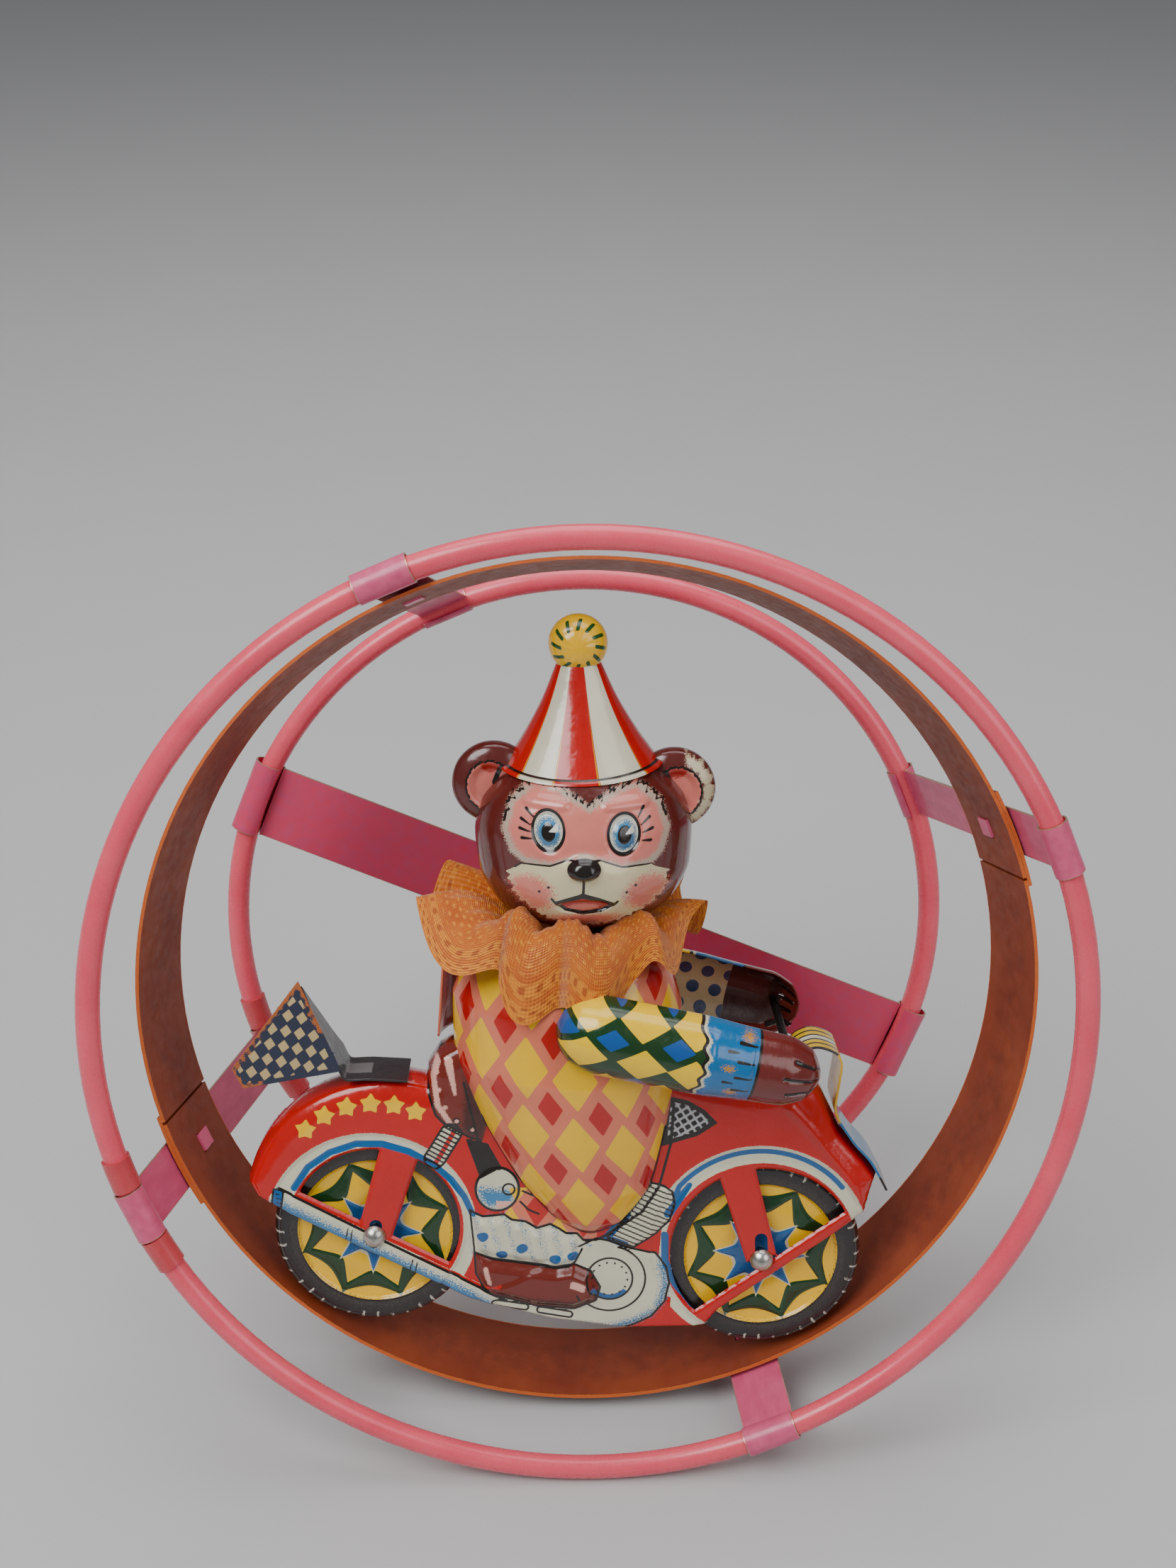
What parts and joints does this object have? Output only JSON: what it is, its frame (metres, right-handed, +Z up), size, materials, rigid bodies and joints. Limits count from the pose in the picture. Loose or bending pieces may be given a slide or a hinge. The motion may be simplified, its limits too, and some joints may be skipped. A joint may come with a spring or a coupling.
{
  "type": "wind-up tin toy",
  "caption": "Tin wind-up toy: clown bear riding a motorcycle round the inside of a rolling two-hoop cage, with a fibre track, tin straps and a clockwork drive.",
  "frame": {"origin": "on the floor, under the middle of the toy's overall box, as it stands on its two hoops", "axes": "+X the way the motorcycle faces, +Y from the big front hoop towards the small back hoop, +Z up; the cage axis dips towards the small hoop"},
  "size_m": [0.1782, 0.1042, 0.1714],
  "materials": {
    "pink_plastic": "glossy moulded rod",
    "salmon_sleeve": "glossy sleeve",
    "pink_tin": "satin paint, bare cut edges",
    "rose_tin": "satin paint, bare cut edges",
    "track_fibre": "smooth fibre strip, rough cut edge",
    "bright_steel": "plated",
    "body_litho": "glossy lithographed tin",
    "arm_litho": "glossy lithographed tin",
    "head_litho": "glossy lithographed tin",
    "wheel_litho": "glossy lithographed tin",
    "windscreen_litho": "glossy lithographed tin",
    "blackened_tin": "worn dark paint",
    "printed_card": "printed card, rough edges",
    "satin_ribbon": "woven satin",
    "plated_tin": "plated tin",
    "gear_brass": "stamped brass",
    "spring_steel": "blued strip"
  },
  "bodies": {
    "cage": {"front_hoop": "pink_plastic", "back_hoop": "pink_plastic", "front_hoop_joiner": "salmon_sleeve", "back_hoop_joiner": "salmon_sleeve", "cross_strap_1": "pink_tin", "cross_strap_2": "pink_tin", "cross_strap_3": "pink_tin", "cross_strap_4": "pink_tin", "centre_bar": "rose_tin", "track_strip_upper": "track_fibre", "track_strip_lower": "track_fibre", "pivot_pin": "bright_steel", "pivot_clip": "bright_steel"},
    "rider": {"near_body_shell": "body_litho", "far_body_shell": "body_litho", "near_arm": "arm_litho", "far_arm": "arm_litho", "handlebar_rod": "bright_steel", "windscreen": "windscreen_litho", "tail_bracket": "blackened_tin", "tail_flag": "printed_card", "back_cover": "body_litho", "head_front_shell": "head_litho", "head_back_shell": "head_litho", "neck_ruff": "satin_ribbon", "pivot_eyelet": "gear_brass", "near_motor_plate": "plated_tin", "far_motor_plate": "plated_tin", "motor_pillars": "bright_steel", "idler_stud": "bright_steel", "mainspring": "spring_steel"},
    "front_axle": {"front_axle": "bright_steel"},
    "front_wheel": {"front_wheel_near_half": "wheel_litho", "front_wheel_far_half": "wheel_litho"},
    "rear_wheel": {"rear_axle": "bright_steel", "rear_wheel_near_half": "wheel_litho", "rear_wheel_far_half": "wheel_litho", "axle_pinion": "gear_brass"},
    "idler": {"idler_cluster": "gear_brass"},
    "second_arbor": {"second_arbor": "bright_steel", "second_wheel": "gear_brass", "second_pinion": "gear_brass"},
    "great_wheel": {"great_wheel": "gear_brass", "ratchet_click": "plated_tin"},
    "winding_arbor": {"winding_arbor": "bright_steel", "ratchet_wheel": "gear_brass", "winding_key": "plated_tin"}
  },
  "joints": [
    {"name": "rider_swing", "type": "hinge", "parent": "cage", "child": "rider", "pos_m": [0, -0.00939, 0.08095], "axis": [0, 0.9603, -0.2791], "continuous": true},
    {"name": "front_axle_float", "type": "slide", "parent": "rider", "child": "front_axle", "axis": [-0.0401, 0.2788, 0.9595], "range_m": [0, 0.004]},
    {"name": "front_wheel_spin", "type": "hinge", "parent": "front_axle", "child": "front_wheel", "pos_m": [0.03221, -0.02369, 0.03176], "axis": [0, 0.9603, -0.2791], "continuous": true},
    {"name": "rear_wheel_spin", "type": "hinge", "parent": "rider", "child": "rear_wheel", "pos_m": [-0.04015, -0.02203, 0.03747], "axis": [0, 0.9603, -0.2791], "continuous": true},
    {"name": "idler_spin", "type": "hinge", "parent": "rider", "child": "idler", "pos_m": [-0.02968, -0.02032, 0.04335], "axis": [0, 0.9603, -0.2791], "continuous": true},
    {"name": "second_arbor_spin", "type": "hinge", "parent": "rider", "child": "second_arbor", "pos_m": [-0.01799, -0.01943, 0.04642], "axis": [0, 0.9603, -0.2791], "continuous": true},
    {"name": "great_wheel_spin", "type": "hinge", "parent": "rider", "child": "great_wheel", "pos_m": [-0.00432, -0.01762, 0.05262], "axis": [0, 0.9603, -0.2791], "continuous": true},
    {"name": "winding_key_turn", "type": "hinge", "parent": "rider", "child": "winding_arbor", "pos_m": [-0.00432, -0.01762, 0.05262], "axis": [0, 0.9603, -0.2791], "range_deg": [0, 1800]}
  ],
  "couplings": [
    {"joint": "front_wheel_spin", "follows": "rider_swing", "ratio": -4.2241},
    {"joint": "rear_wheel_spin", "follows": "rider_swing", "ratio": -4.2241},
    {"joint": "idler_spin", "follows": "rider_swing", "ratio": 1.408},
    {"joint": "second_arbor_spin", "follows": "rider_swing", "ratio": -0.46934},
    {"joint": "great_wheel_spin", "follows": "rider_swing", "ratio": 0.11734}
  ]
}
